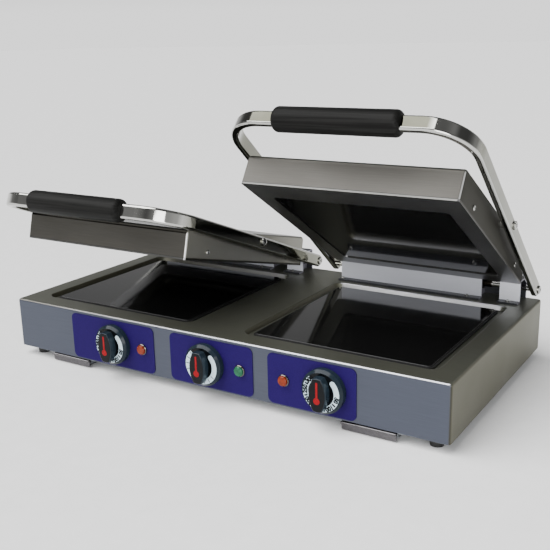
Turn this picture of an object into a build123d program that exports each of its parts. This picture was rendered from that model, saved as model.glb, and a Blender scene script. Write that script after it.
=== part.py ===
from build123d import *
import os
from math import atan2, cos, degrees, radians, sin

# Double contact grill with glass-ceramic plates. Millimetres, +X to the user's right, +Y to the rear, +Z up.
# The origin is on the table, at the centre of the four feet.

# ---------------------------------------------------------------- driving dimensions
# casing
casing_width = 700
casing_depth = 366
casing_height = 75
casing_sheet = 1.5
casing_bend = 3.5
casing_corner = 4
casing_lip = 14
bottom_sheet = 1.2
bottom_inset = 2
foot_height = 12.8
foot_radius = 10
foot_inset_x = 24
foot_inset_y = 22

# wells pressed into the deck, and the lower plates
station_pitch = 362
well_width = 277
well_length = 275
well_depth = 6.5
well_slope = 3
well_corner = 14
well_rim = 2
well_front_margin = 32
lower_plate_size = 250
plate_thickness = 4
plate_corner = 6
seal_width = 3
seal_height = 2.5
heater_size = 236
heater_wall = 8
heater_floor = 8
lower_heater_height = 24
upper_heater_height = 22
heater_window_margin = 9
element_width = 6
element_thickness = 2
element_runs = 10

# lids
lid_width = 297
lid_length = 317
lid_front_height = 41
lid_rear_height = 47
lid_sheet = 1.2
lid_front_roll = 6
lid_rear_roll = 6
lid_bend = 3.5
lid_seam = 0.4
frame_sheet = 1.5
frame_rim = 2.5
frame_flange = 14
frame_fit = 0.2
window_size = 247
window_front_border = 44
upper_plate_overlap = 5
pivot_from_front = 162
pivot_height = 34

# handles
handle_width = 335
tube_thickness = 10
tube_height = 20
tube_wall = 1.5
tube_corner = 3.5
tube_outer_bend = 60
arm_reach = 184
pivot_rise = 3.1
grip_reach = 406
grip_radius = 16
grip_length = 168
grip_end_round = 7

# hinges
hinge_from_rear = 15
hinge_above_deck = 18
rod_radius = 4
bracket_sheet = 2.5
bracket_height = 33.5
bracket_front = 21
bracket_rear = 12
bracket_flange = 12
bracket_bend = 3
wide_bracket_start = -142
wide_bracket_end = 90
wide_bracket_web_inset = 5
narrow_bracket_start = 117
narrow_bracket_end = 147
bracket_gap = 0.5
bearing_web = 10
wide_bracket_screws = (-136, 70)
narrow_bracket_screw = 131
bush_wall = 2
bush_flange = 2
bush_flange_radius = 9
bush_collar = 14
bush_collar_radius = 5.6
bush_barrel = 8
spring_radius = 7.3
spring_wire = 2
spring_pitch = 3
spring_turns = 5

# rest angles of the arms and the lids, from level
left_arm_angle = 21
right_arm_angle = 40.6
left_lid_angle = 14.7
right_lid_angle = 31.8

# front panels: centre, width and the places of the knob and the lamp, from the middle of the casing
panel_height = 68
panel_thickness = 1
panel_corner = 8
control_height = 36
left_panel_x, left_panel_width = -159, 154
middle_panel_x, middle_panel_width = 14.5, 135
right_panel_x, right_panel_width = 168, 126
left_knob_x, middle_knob_x, right_knob_x = -154, 8, 189
left_lamp_x, middle_lamp_x, right_lamp_x = -103, 62, 129
knob_radius = 29
knob_skirt = 11
knob_bevel = 3.5
knob_grip_length = 44
knob_grip_width = 24
knob_grip_height = 11
knob_grip_round = 2
knob_grip_side_radius = 40
knob_gap = 1
spindle_radius = 3
spindle_flat = 1.4
spindle_in_knob = 13
control_bush_radius = 4.5
control_bush_length = 3.5
thermostat_width = 38
thermostat_height = 42
thermostat_depth = 26
capsule_radius = 14
capsule_depth = 9
regulator_width = 44
regulator_height = 46
regulator_depth = 32
lamp_radius = 8
lamp_flange = 2.5
lamp_barrel_radius = 6
lamp_barrel_length = 22
lamp_stem_radius = 5
lamp_stem_length = 4
lamp_lens_radius = 6.9
lamp_lens_rise = 3

# drip trays and their runners
tray_x = 246.5
tray_width = 73
tray_length = 250
tray_top = 8.5
tray_depth = 7
tray_sheet = 1
tray_flange = 6
tray_lip_setback = 1
runner_sheet = 1.2
runner_foot = 8
runner_shelf = 4
drain_radius = 2.5
spout_wall = 1

# rear side and inside
gland_x = -250
gland_height = 40
gland_bore_radius = 5
gland_nut_radius = 12
gland_nut_length = 9
gland_nose_radius = 9.5
gland_nose_length = 10
gland_tail_length = 9
vent_length = 30
vent_width = 4
vent_pitch = 9
vent_count = 6
terminal_width = 64
terminal_depth = 22
terminal_height = 18
terminal_ways = 5

# fits and fasteners
running_clearance = 0.06
fixed_clearance = 0.05
side_clearance = 0.3
screw_radius = 2
screw_head_radius = 3.5
screw_head_height = 2
bolt_radius = 2.5
bolt_head_radius = 6
bolt_head_height = 2.6
pin_radius = 4
pin_spacer_radius = 5
pin_thread_radius = 3
pin_nut_radius = 5.5
pin_nut_height = 4
lid_screw_height = 12
lid_screw_us = (50, 262)
lid_screw_length = 6
rod_screw_depth = 13
lip_screw_x = 302

# ---------------------------------------------------------------- places worked out from them
stations = (("left", -station_pitch / 2), ("right", station_pitch / 2))
casing_bottom = foot_height + bottom_sheet
deck_z = casing_bottom + casing_height
front_y = -casing_depth / 2
rear_y = casing_depth / 2
well_y = front_y + well_front_margin + well_length / 2
well_floor_z = deck_z - well_depth
control_z = casing_bottom + control_height
hinge_y = rear_y - hinge_from_rear
hinge_z = deck_z + hinge_above_deck
bracket_front_y = hinge_y - bracket_front
bracket_rear_y = hinge_y + bracket_rear
arm_x = (handle_width - tube_thickness) / 2
bracket_screw_y = bracket_front_y - bracket_flange / 2
bracket_screw_centres = [
    (x + screw_x, bracket_screw_y)
    for _, x in stations
    for screw_x in (*wide_bracket_screws, narrow_bracket_screw)
]
drain_y = well_y - (well_length / 2 - well_slope + lower_plate_size / 2 + seal_width) / 2
front_plane = Plane(origin=(0, front_y, 0), x_dir=(1, 0, 0), z_dir=(0, -1, 0))
rear_plane = Plane(origin=(0, rear_y, 0), x_dir=(-1, 0, 0), z_dir=(0, 1, 0))
side_plane = Plane.YZ
knobs = (("left", left_knob_x), ("middle", middle_knob_x), ("right", right_knob_x))
well_centres = [(x, well_y) for _, x in stations]
drain_centres = [(-tray_x, drain_y), (tray_x, drain_y)]
foot_centres = [
    (x * (casing_width / 2 - foot_inset_x), y * (casing_depth / 2 - foot_inset_y))
    for x in (-1, 1)
    for y in (-1, 1)
]
lip_screw_centres = [
    (x * (casing_width / 2 - casing_sheet - casing_lip / 2), y * casing_depth / 6)
    for x in (-1, 1)
    for y in (-1, 1)
] + [
    (x * lip_screw_x, y * (casing_depth / 2 - casing_sheet - casing_lip / 2))
    for x in (-1, 0, 1)
    for y in (-1, 1)
]

os.makedirs("parts", exist_ok=True)


def write(piece, name):
    piece.part.label = name
    export_step(piece.part, f"parts/{name}.step")


def tilted(x, y, z, angle):
    """A plane whose X runs along the machine, whose Y runs rearwards and down at the angle, and whose Z is its normal."""
    return Plane(origin=(x, y, z), x_dir=(1, 0, 0), z_dir=(0, sin(radians(angle)), cos(radians(angle))))


def side_of(plane, x):
    """The plane across a tilted plane, at a distance x along it: sketches there are (rearwards, up)."""
    return Plane(origin=plane.from_local_coords((x, 0, 0)), x_dir=plane.y_dir, z_dir=plane.x_dir)


# ---------------------------------------------------------------- casing
# One folded sheet makes the deck, the front, the sides and the rear. Its lower edge is folded in as a lip, and
# two wells are pressed into the deck, each with a sloped wall, a ledge for the glass and a window for the heater.
with BuildPart() as casing_shell:
    with BuildSketch(Plane.XY.offset(casing_bottom)):
        Rectangle(casing_width, casing_depth)
    extrude(amount=casing_height)
    fillet(edges().filter_by(Axis.Z), casing_corner)
    fillet(faces().sort_by(Axis.Z)[-1].edges(), casing_bend)
    offset(amount=-casing_sheet, openings=faces().sort_by(Axis.Z)[0])
    with BuildSketch(Plane.XY.offset(casing_bottom)):
        RectangleRounded(casing_width - casing_sheet, casing_depth - casing_sheet, casing_corner)
        Rectangle(
            casing_width - 2 * (casing_sheet + casing_lip),
            casing_depth - 2 * (casing_sheet + casing_lip),
            mode=Mode.SUBTRACT,
        )
    extrude(amount=casing_sheet)
    well_angle = degrees(atan2(well_slope, well_depth))
    for x, y in well_centres:
        well_top = Plane(origin=(x, y, deck_z), x_dir=(1, 0, 0), z_dir=(0, 0, -1))
        with BuildSketch(well_top):
            RectangleRounded(
                well_width + 2 * casing_sheet, well_length + 2 * casing_sheet, well_corner + casing_sheet
            )
        extrude(amount=well_depth + casing_sheet, taper=well_angle)
        with BuildSketch(well_top):
            RectangleRounded(well_width, well_length, well_corner)
        extrude(amount=well_depth, taper=well_angle, mode=Mode.SUBTRACT)
        with BuildSketch(well_top):
            RectangleRounded(
                lower_plate_size - 2 * heater_window_margin,
                lower_plate_size - 2 * heater_window_margin,
                plate_corner,
            )
        extrude(amount=well_depth + 2 * casing_sheet, mode=Mode.SUBTRACT)
    deck_face = faces().filter_by(Plane.XY).sort_by(Axis.Z)[-1]
    fillet([edge for wire in deck_face.inner_wires() for edge in wire.edges()], well_rim)
    with BuildSketch(Plane.XY.offset(well_floor_z)):
        with Locations(*drain_centres):
            Circle(drain_radius)
    extrude(amount=-2 * casing_sheet, mode=Mode.SUBTRACT)
    with BuildSketch(front_plane):
        with Locations(*[(x, control_z) for _, x in knobs]):
            Circle(control_bush_radius + side_clearance)
        with Locations(*[(x, control_z) for x in (left_lamp_x, middle_lamp_x, right_lamp_x)]):
            Circle(lamp_barrel_radius + fixed_clearance)
    extrude(amount=-2 * casing_sheet, mode=Mode.SUBTRACT)
    with BuildSketch(rear_plane):
        with Locations((-gland_x, gland_height)):
            Circle(gland_nose_radius - 1)
        for x in (-casing_width / 8, casing_width / 4):
            for row in range(vent_count):
                with Locations((x, casing_bottom + 14 + row * vent_pitch)):
                    SlotOverall(vent_length, vent_width)
    extrude(amount=-2 * casing_sheet, mode=Mode.SUBTRACT)
    with BuildSketch(Plane.XY.offset(casing_bottom)):
        with Locations(*lip_screw_centres):
            Circle(screw_radius + fixed_clearance)
    extrude(amount=casing_sheet, mode=Mode.SUBTRACT)
    with BuildSketch(Plane.XY.offset(deck_z)):
        with Locations(*bracket_screw_centres):
            Circle(screw_radius + fixed_clearance)
    extrude(amount=-2 * casing_sheet, mode=Mode.SUBTRACT)
write(casing_shell, "casing_shell")

# The bottom plate is screwed up against the lips. It carries the feet and the tray runners, and lets air in.
with BuildPart() as bottom_plate:
    with BuildSketch(Plane.XY.offset(foot_height)):
        RectangleRounded(casing_width - 2 * bottom_inset, casing_depth - 2 * bottom_inset, casing_corner)
        with Locations(*lip_screw_centres, *foot_centres):
            Circle(screw_radius + fixed_clearance, mode=Mode.SUBTRACT)
        with Locations(*drain_centres):
            Circle(drain_radius + spout_wall + side_clearance, mode=Mode.SUBTRACT)
        for x in (-casing_width / 8, casing_width / 8):
            for row in range(vent_count):
                with Locations((x, (row - vent_count / 2) * 3 * vent_pitch)):
                    SlotOverall(2 * vent_length, vent_width, mode=Mode.SUBTRACT)
    extrude(amount=bottom_sheet)
write(bottom_plate, "bottom_plate")

# Pan-head screws hold the bottom plate to the lips.
with BuildPart() as bottom_plate_screws:
    with BuildSketch(Plane.XY.offset(foot_height)):
        with Locations(*lip_screw_centres):
            Circle(screw_head_radius)
    extrude(amount=-screw_head_height)
    with BuildSketch(Plane.XY.offset(foot_height)):
        with Locations(*lip_screw_centres):
            Circle(screw_radius)
    extrude(amount=bottom_sheet + 2 * casing_sheet)
write(bottom_plate_screws, "bottom_plate_screws")

# Four moulded feet, each with a pocket for the screw that holds it.
foot_pocket = foot_height / 2
with BuildPart() as feet:
    with BuildSketch(Plane.XY):
        with Locations(*foot_centres):
            Circle(foot_radius - 1.5)
    extrude(amount=foot_height, taper=-degrees(atan2(1.5, foot_height)))
    with BuildSketch(Plane.XY):
        with Locations(*foot_centres):
            Circle(screw_head_radius + 1)
    extrude(amount=foot_pocket, mode=Mode.SUBTRACT)
    with BuildSketch(Plane.XY):
        with Locations(*foot_centres):
            Circle(screw_radius + fixed_clearance)
    extrude(amount=foot_height, mode=Mode.SUBTRACT)
write(feet, "feet")

with BuildPart() as foot_screws:
    with BuildSketch(Plane.XY.offset(foot_pocket - screw_head_height)):
        with Locations(*foot_centres):
            Circle(screw_head_radius)
    extrude(amount=screw_head_height)
    with BuildSketch(Plane.XY.offset(foot_pocket)):
        with Locations(*foot_centres):
            Circle(screw_radius)
    extrude(amount=foot_height - foot_pocket + bottom_sheet + 1)
write(foot_screws, "foot_screws")

# ---------------------------------------------------------------- front panels and controls
panels = (
    ("left", left_panel_x, left_panel_width, left_knob_x, left_lamp_x),
    ("middle", middle_panel_x, middle_panel_width, middle_knob_x, middle_lamp_x),
    ("right", right_panel_x, right_panel_width, right_knob_x, right_lamp_x),
)
for side, panel_x, panel_width, knob_x, lamp_x in panels:
    with BuildPart() as front_panel:
        with BuildSketch(front_plane):
            with Locations((panel_x, control_z)):
                RectangleRounded(panel_width, panel_height, panel_corner)
            with Locations((knob_x, control_z)):
                Circle(control_bush_radius + side_clearance, mode=Mode.SUBTRACT)
            with Locations((lamp_x, control_z)):
                Circle(lamp_barrel_radius + fixed_clearance, mode=Mode.SUBTRACT)
        extrude(amount=panel_thickness)
    write(front_panel, f"{side}_front_panel")


# A control behind the front: its body, its capsule or block, and the bush that its spindle turns in.
def make_control(name, x, width, height, depth, round_back):
    inner_wall = front_plane.offset(-casing_sheet)
    with BuildPart() as control:
        with BuildSketch(inner_wall):
            with Locations((x, control_z)):
                RectangleRounded(width, height, 3)
        extrude(amount=-depth)
        with BuildSketch(inner_wall.offset(-depth)):
            with Locations((x, control_z)):
                if round_back:
                    Circle(capsule_radius)
                else:
                    with GridLocations(width / 3, height / 2, 3, 2):
                        Rectangle(1, 6)
        extrude(amount=-capsule_depth)
        with BuildSketch(inner_wall):
            with Locations((x, control_z)):
                Circle(control_bush_radius)
        extrude(amount=casing_sheet + panel_thickness)
        with BuildSketch(front_plane.offset(panel_thickness)):
            with Locations((x, control_z)):
                Circle(spindle_radius + running_clearance)
        extrude(amount=-(panel_thickness + casing_sheet + depth / 2), mode=Mode.SUBTRACT)
    write(control, name)


make_control("left_thermostat", left_knob_x, thermostat_width, thermostat_height, thermostat_depth, True)
make_control("right_thermostat", right_knob_x, thermostat_width, thermostat_height, thermostat_depth, True)
make_control("energy_regulator", middle_knob_x, regulator_width, regulator_height, regulator_depth, False)

# Knobs: a bevelled round skirt with a raised bar, bowed out on both flanks and rounded at its ends, on a spindle
# with a flat.
knob_base = front_plane.offset(panel_thickness + knob_gap)
for side, x in knobs:
    with BuildPart() as knob:
        with BuildSketch(knob_base):
            with Locations((x, control_z)):
                Circle(knob_radius)
        extrude(amount=knob_skirt)
        chamfer(faces().sort_by(Axis.Y)[0].edges(), knob_bevel)
        with BuildSketch(knob_base.offset(knob_skirt)):
            with Locations((x, control_z)):
                Circle(knob_grip_length / 2)
            flank_x = knob_grip_side_radius - knob_grip_width / 2
            for end in (-1, 1):
                with Locations((x + end * flank_x, control_z)):
                    Circle(knob_grip_side_radius, mode=Mode.INTERSECT)
        extrude(amount=knob_grip_height)
        fillet(faces().sort_by(Axis.Y)[0].edges(), knob_grip_round)
        with BuildSketch(knob_base):
            with Locations((x, control_z)):
                Circle(spindle_radius + fixed_clearance)
            with Locations((x, control_z + 2 * spindle_radius - spindle_flat + fixed_clearance)):
                Rectangle(4 * spindle_radius, 2 * spindle_radius, mode=Mode.SUBTRACT)
        extrude(amount=spindle_in_knob + fixed_clearance, mode=Mode.SUBTRACT)
    write(knob, f"{side}_knob")

    spindle_depth = regulator_depth if side == "middle" else thermostat_depth
    with BuildPart() as spindle:
        with BuildSketch(front_plane.offset(-(casing_sheet + spindle_depth / 2 - 1))):
            with Locations((x, control_z)):
                Circle(spindle_radius)
        extrude(amount=casing_sheet + spindle_depth / 2 - 1 + panel_thickness + knob_gap)
        with BuildSketch(knob_base):
            with Locations((x, control_z)):
                Circle(spindle_radius)
            with Locations((x, control_z + 2 * spindle_radius - spindle_flat)):
                Rectangle(4 * spindle_radius, 2 * spindle_radius, mode=Mode.SUBTRACT)
        extrude(amount=spindle_in_knob)
    write(spindle, f"{side}_knob_spindle")

# Pilot lamps: a turned bezel with its barrel through the front, and a domed lens with its stem pressed into it.
lamp_face = front_plane.offset(panel_thickness)
lamp_xs = (left_lamp_x, middle_lamp_x, right_lamp_x)
with BuildPart() as lamp_bezels:
    with BuildSketch(lamp_face):
        with Locations(*[(x, control_z) for x in lamp_xs]):
            Circle(lamp_radius)
    extrude(amount=lamp_flange)
    chamfer(faces().filter_by(Plane.XZ).group_by(Axis.Y)[0].edges(), 0.8)
    with BuildSketch(lamp_face):
        with Locations(*[(x, control_z) for x in lamp_xs]):
            Circle(lamp_barrel_radius)
    extrude(amount=-lamp_barrel_length)
    with BuildSketch(lamp_face.offset(lamp_flange)):
        with Locations(*[(x, control_z) for x in lamp_xs]):
            Circle(lamp_stem_radius + fixed_clearance)
    extrude(amount=-(lamp_flange + lamp_barrel_length - 2), mode=Mode.SUBTRACT)
write(lamp_bezels, "lamp_bezels")


def make_lenses(name, xs):
    with BuildPart() as lenses:
        with BuildSketch(lamp_face.offset(lamp_flange)):
            with Locations(*[(x, control_z) for x in xs]):
                Circle(lamp_lens_radius)
        extrude(amount=lamp_lens_rise)
        fillet(faces().filter_by(Plane.XZ).group_by(Axis.Y)[0].edges(), 0.8 * lamp_lens_rise)
        with BuildSketch(lamp_face.offset(lamp_flange)):
            with Locations(*[(x, control_z) for x in xs]):
                Circle(lamp_stem_radius)
        extrude(amount=-lamp_stem_length)
    write(lenses, name)


make_lenses("orange_lamp_lenses", (left_lamp_x, right_lamp_x))
make_lenses("green_lamp_lens", (middle_lamp_x,))

# ---------------------------------------------------------------- lower plates and heaters
for side, x in stations:
    with BuildPart() as lower_glass:
        with BuildSketch(Plane.XY.offset(well_floor_z)):
            with Locations((x, well_y)):
                RectangleRounded(lower_plate_size, lower_plate_size, plate_corner)
        extrude(amount=plate_thickness)
        chamfer(faces().sort_by(Axis.Z)[-1].edges(), 0.6)
    write(lower_glass, f"{side}_lower_glass")

    heater_top = well_floor_z - casing_sheet
    with BuildPart() as lower_heater_dish:
        with BuildSketch(Plane.XY.offset(heater_top)):
            with Locations((x, well_y)):
                RectangleRounded(heater_size, heater_size, plate_corner)
        extrude(amount=-lower_heater_height)
        with BuildSketch(Plane.XY.offset(heater_top)):
            with Locations((x, well_y)):
                Rectangle(heater_size - 2 * heater_wall, heater_size - 2 * heater_wall)
        extrude(amount=-(lower_heater_height - heater_floor), mode=Mode.SUBTRACT)
    write(lower_heater_dish, f"{side}_lower_heater_dish")

with BuildPart() as lower_glass_seals:
    with BuildSketch(Plane.XY.offset(well_floor_z)):
        with Locations(*well_centres):
            RectangleRounded(
                lower_plate_size + 2 * seal_width, lower_plate_size + 2 * seal_width, plate_corner + seal_width
            )
        with Locations(*well_centres):
            RectangleRounded(
                lower_plate_size + 2 * fixed_clearance,
                lower_plate_size + 2 * fixed_clearance,
                plate_corner + fixed_clearance,
                mode=Mode.SUBTRACT,
            )
    extrude(amount=seal_height)
write(lower_glass_seals, "lower_glass_seals")


def element_points(x, y):
    """The corners of one heating ribbon, which runs to and fro across its dish."""
    reach = heater_size / 2 - heater_wall - element_width
    step = 2 * reach / (element_runs - 1)
    points = []
    for run in range(element_runs):
        ends = (-reach, reach) if run % 2 == 0 else (reach, -reach)
        points += [(x + end, y - reach + run * step) for end in ends]
    return points


with BuildPart() as lower_heating_elements:
    with BuildSketch(Plane.XY.offset(well_floor_z - casing_sheet - lower_heater_height + heater_floor)):
        for x, y in well_centres:
            with BuildLine():
                Polyline(*element_points(x, y))
            trace(line_width=element_width)
    extrude(amount=element_thickness)
write(lower_heating_elements, "lower_heating_elements")

# ---------------------------------------------------------------- drip trays
# A drain in the front gutter of each well leads down a spout into a tray that slides under the casing.
with BuildPart() as drain_spouts:
    with BuildSketch(Plane.XY.offset(well_floor_z - casing_sheet)):
        with Locations(*drain_centres):
            Circle(drain_radius + spout_wall)
        with Locations(*drain_centres):
            Circle(drain_radius, mode=Mode.SUBTRACT)
    extrude(amount=-(well_floor_z - casing_sheet - foot_height + 1))
write(drain_spouts, "drain_spouts")

tray_front_y = front_y + tray_lip_setback
shelf_top = tray_top - tray_sheet - side_clearance
web_x = tray_width / 2 + side_clearance
with BuildPart() as tray_runners:
    for tray_sign in (-1, 1):
        for rail_sign in (-1, 1):
            with BuildSketch(Plane.XZ.offset(-(tray_front_y + 2))):
                with BuildLine():
                    rail_x = tray_sign * tray_x
                    Polyline(
                        (rail_x + rail_sign * (web_x + runner_foot), foot_height),
                        (rail_x + rail_sign * web_x, foot_height),
                        (rail_x + rail_sign * web_x, shelf_top),
                        (rail_x + rail_sign * (web_x - runner_shelf), shelf_top),
                        (rail_x + rail_sign * (web_x - runner_shelf), shelf_top - runner_sheet),
                        (rail_x + rail_sign * (web_x + runner_sheet), shelf_top - runner_sheet),
                        (rail_x + rail_sign * (web_x + runner_sheet), foot_height - runner_sheet),
                        (rail_x + rail_sign * (web_x + runner_foot), foot_height - runner_sheet),
                        close=True,
                    )
                make_face()
            extrude(amount=-(tray_length - 2))
write(tray_runners, "tray_runners")

for side, sign in (("left", -1), ("right", 1)):
    x = sign * tray_x
    with BuildPart() as drip_tray:
        with BuildSketch(Plane.XY.offset(tray_top - tray_sheet)):
            with Locations((x, tray_front_y + tray_length / 2)):
                Rectangle(tray_width, tray_length)
        extrude(amount=tray_sheet)
        with BuildSketch(Plane.XY.offset(tray_top - tray_depth)):
            with Locations((x, tray_front_y + tray_length / 2)):
                Rectangle(tray_width - 2 * tray_flange, tray_length - 2 * tray_sheet)
        extrude(amount=tray_depth - tray_sheet)
        with BuildSketch(Plane.XY.offset(tray_top - tray_depth + tray_sheet)):
            with Locations((x, tray_front_y + tray_length / 2)):
                Rectangle(tray_width - 2 * (tray_flange + tray_sheet), tray_length - 4 * tray_sheet)
        extrude(amount=tray_depth, mode=Mode.SUBTRACT)
        with BuildSketch(Plane.XZ.offset(-tray_front_y)):
            with Locations((x, tray_top - tray_depth / 2)):
                RectangleRounded(tray_width, tray_depth, 1.5)
        extrude(amount=-tray_sheet)
    write(drip_tray, f"{side}_drip_tray")

# ---------------------------------------------------------------- rear side and inside
# The mains lead comes in through a gland: a flanged nut, a nose and a tail with one bore through them.
with BuildPart() as cable_gland:
    with BuildSketch(rear_plane):
        with Locations((-gland_x, gland_height)):
            RegularPolygon(gland_nut_radius, 6)
    extrude(amount=gland_nut_length)
    with BuildSketch(rear_plane.offset(gland_nut_length)):
        with Locations((-gland_x, gland_height)):
            Circle(gland_nose_radius)
    extrude(amount=gland_nose_length, taper=8)
    with BuildSketch(rear_plane):
        with Locations((-gland_x, gland_height)):
            Circle(gland_nose_radius - 1 - fixed_clearance)
    extrude(amount=-gland_tail_length)
    with BuildSketch(rear_plane.offset(gland_nut_length + gland_nose_length)):
        with Locations((-gland_x, gland_height)):
            Circle(gland_bore_radius)
    extrude(amount=-(gland_nut_length + gland_nose_length + gland_tail_length), mode=Mode.SUBTRACT)
write(cable_gland, "cable_gland")

# The terminal block stands on the bottom plate in front of the gland, with a well for each wire.
terminal_y = rear_y - 3 * terminal_depth
with BuildPart() as terminal_block:
    with BuildSketch(Plane.XY.offset(casing_bottom)):
        with Locations((gland_x, terminal_y)):
            Rectangle(terminal_width, terminal_depth)
    extrude(amount=terminal_height)
    with BuildSketch(Plane.XY.offset(casing_bottom + terminal_height)):
        with Locations((gland_x, terminal_y)):
            with GridLocations(terminal_width / terminal_ways, terminal_depth / 2, terminal_ways, 2):
                Rectangle(7, 7)
    extrude(amount=-terminal_height / 2, mode=Mode.SUBTRACT)
write(terminal_block, "terminal_block")

# ---------------------------------------------------------------- hinges
bracket_length = bracket_rear_y - bracket_front_y


# A bracket is folded from one sheet: front, top and rear walls, and a flange in front. Its rear wall stands on
# the deck. Each of these gives one of its sketches at a place along the hinge line.
def bracket_outline(x):
    """The outside, rounded where the sheet is folded."""
    with BuildSketch(side_plane.offset(x)) as outline:
        with BuildLine():
            FilletPolyline(
                (bracket_front_y, deck_z),
                (bracket_front_y, deck_z + bracket_height),
                (bracket_rear_y, deck_z + bracket_height),
                (bracket_rear_y, deck_z),
                radius=bracket_bend,
            )
            Line((bracket_rear_y, deck_z), (bracket_front_y, deck_z))
        make_face()
    return outline.sketch


def bracket_inside(x):
    """The space under the fold."""
    inside_height = bracket_height - bracket_sheet
    middle = ((bracket_front_y + bracket_rear_y) / 2, deck_z + inside_height / 2)
    with BuildSketch(side_plane.offset(x)) as inside:
        with Locations(middle):
            Rectangle(bracket_length - 2 * bracket_sheet, inside_height)
    return inside.sketch


def in_front_of_rear_wall(x):
    """All of the section but its rear wall."""
    length = bracket_length - bracket_sheet
    with BuildSketch(side_plane.offset(x)) as front_part:
        with Locations((bracket_front_y + length / 2, deck_z + bracket_height / 2)):
            Rectangle(length, bracket_height)
    return front_part.sketch


def bracket_foot(x_start, x_end, screw_xs):
    """The flange in front, with its screw holes."""
    with BuildSketch(Plane.XY.offset(deck_z)) as foot:
        with Locations(((x_start + x_end) / 2, bracket_screw_y)):
            Rectangle(x_end - x_start, bracket_flange)
        with Locations(*[(x, bracket_screw_y) for x in screw_xs]):
            Circle(screw_radius + fixed_clearance, mode=Mode.SUBTRACT)
    return foot.sketch


def hinge_disc(x, radius):
    """A circle on the hinge line."""
    with BuildSketch(side_plane.offset(x)) as circle:
        with Locations((hinge_y, hinge_z)):
            Circle(radius)
    return circle.sketch


bush_bore = rod_radius + bush_wall + fixed_clearance

# The wide bracket has an end wall on the left and a bearing web just inside its right end. Its rear wall alone
# runs on to the narrow bracket, behind the rod.
with BuildPart() as wide_hinge_brackets:
    for _, x in stations:
        start, end = x + wide_bracket_start, x + wide_bracket_end
        wall_end = x + narrow_bracket_start - bracket_gap
        extrude(bracket_outline(start), amount=wall_end - start)
        extrude(in_front_of_rear_wall(end), amount=wall_end - end, mode=Mode.SUBTRACT)
        web_end = end - wide_bracket_web_inset
        inside_length = web_end - start - 2 * bracket_sheet
        extrude(bracket_inside(start + bracket_sheet), amount=inside_length, mode=Mode.SUBTRACT)
        extrude(bracket_inside(web_end), amount=wide_bracket_web_inset, mode=Mode.SUBTRACT)
        extrude(bracket_foot(start, end, [x + screw_x for screw_x in wide_bracket_screws]), amount=bracket_sheet)
        extrude(hinge_disc(start, bush_bore), amount=end - start, mode=Mode.SUBTRACT)
write(wide_hinge_brackets, "wide_hinge_brackets")

# The narrow bracket is open at both ends and has a bearing block in its middle.
with BuildPart() as narrow_hinge_brackets:
    for _, x in stations:
        start, end = x + narrow_bracket_start, x + narrow_bracket_end
        web_start = (start + end - bearing_web) / 2
        extrude(bracket_outline(start), amount=end - start)
        extrude(bracket_inside(start), amount=web_start - start, mode=Mode.SUBTRACT)
        extrude(bracket_inside(end), amount=web_start + bearing_web - end, mode=Mode.SUBTRACT)
        extrude(bracket_foot(start, end, [x + narrow_bracket_screw]), amount=bracket_sheet)
        extrude(hinge_disc(start, bush_bore), amount=end - start, mode=Mode.SUBTRACT)
write(narrow_hinge_brackets, "narrow_hinge_brackets")

with BuildPart() as hinge_bracket_screws:
    with BuildSketch(Plane.XY.offset(deck_z + bracket_sheet)):
        with Locations(*bracket_screw_centres):
            Circle(screw_head_radius)
    extrude(amount=screw_head_height)
    chamfer(faces().filter_by(Plane.XY).group_by(Axis.Z)[-1].edges(), 0.7)
    with BuildSketch(Plane.XY.offset(deck_z + bracket_sheet)):
        with Locations(*bracket_screw_centres):
            Circle(screw_radius)
    extrude(amount=-(bracket_sheet + 3 * casing_sheet))
write(hinge_bracket_screws, "hinge_bracket_screws")

# Bushes carry the rod. Each is given by its flange's radius and the places of its flange end, face and barrel end.
with BuildPart() as hinge_bushes:
    for _, x in stations:
        wide_left = x + wide_bracket_start
        wide_right = x + wide_bracket_end - wide_bracket_web_inset
        web_right = x + (narrow_bracket_start + narrow_bracket_end + bearing_web) / 2
        bushes = (
            (bush_flange_radius, wide_left - bush_flange, wide_left, wide_left + bush_barrel),
            (bush_flange_radius, wide_right + bush_flange, wide_right, wide_right - bush_barrel),
            (bush_collar_radius, wide_right + bush_collar, wide_right + bush_flange, wide_right),
            (bush_flange_radius, web_right + bush_flange, web_right, web_right - bearing_web),
        )
        for flange_radius, flange_end, flange_face, barrel_end in bushes:
            extrude(hinge_disc(flange_end, flange_radius), amount=flange_face - flange_end)
            extrude(hinge_disc(flange_face, rod_radius + bush_wall), amount=barrel_end - flange_face)
            rod_bore = hinge_disc(flange_end, rod_radius + running_clearance)
            extrude(rod_bore, amount=barrel_end - flange_end, mode=Mode.SUBTRACT)
write(hinge_bushes, "hinge_bushes")

# A coil spring round the rod takes most of the weight of the raised lid. It is wound over the bush barrel.
for side, x in stations:
    coil_start = (x + wide_bracket_start + bracket_sheet + spring_wire, hinge_y, hinge_z)
    with BuildPart() as hinge_spring:
        with BuildLine() as coil:
            Helix(spring_pitch, spring_pitch * spring_turns, spring_radius, coil_start, (1, 0, 0))
        with BuildSketch(Plane(origin=coil.line @ 0, x_dir=(1, 0, 0), z_dir=coil.line % 0)):
            Rectangle(spring_wire, spring_wire)
        sweep(is_frenet=True)
    write(hinge_spring, f"{side}_hinge_spring")


# ---------------------------------------------------------------- handles and lids
def disc(plane, x, at, radius):
    """A circle across the machine's X, at (rearwards, up) in a tilted plane."""
    with BuildSketch(side_of(plane, x)) as circle:
        with Locations(at):
            Circle(radius)
    return circle.sketch


eye_radius = tube_height / 2
glass_u = window_front_border + window_size / 2
upper_plate_size = window_size + 2 * upper_plate_overlap
heater_base = frame_sheet + plate_thickness
side_screws = [(u, lid_screw_height) for u in lid_screw_us]
pin_place = (pivot_from_front, pivot_height)
arm_angles = (left_arm_angle, right_arm_angle)
lid_angles = (left_lid_angle, right_lid_angle)

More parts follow.
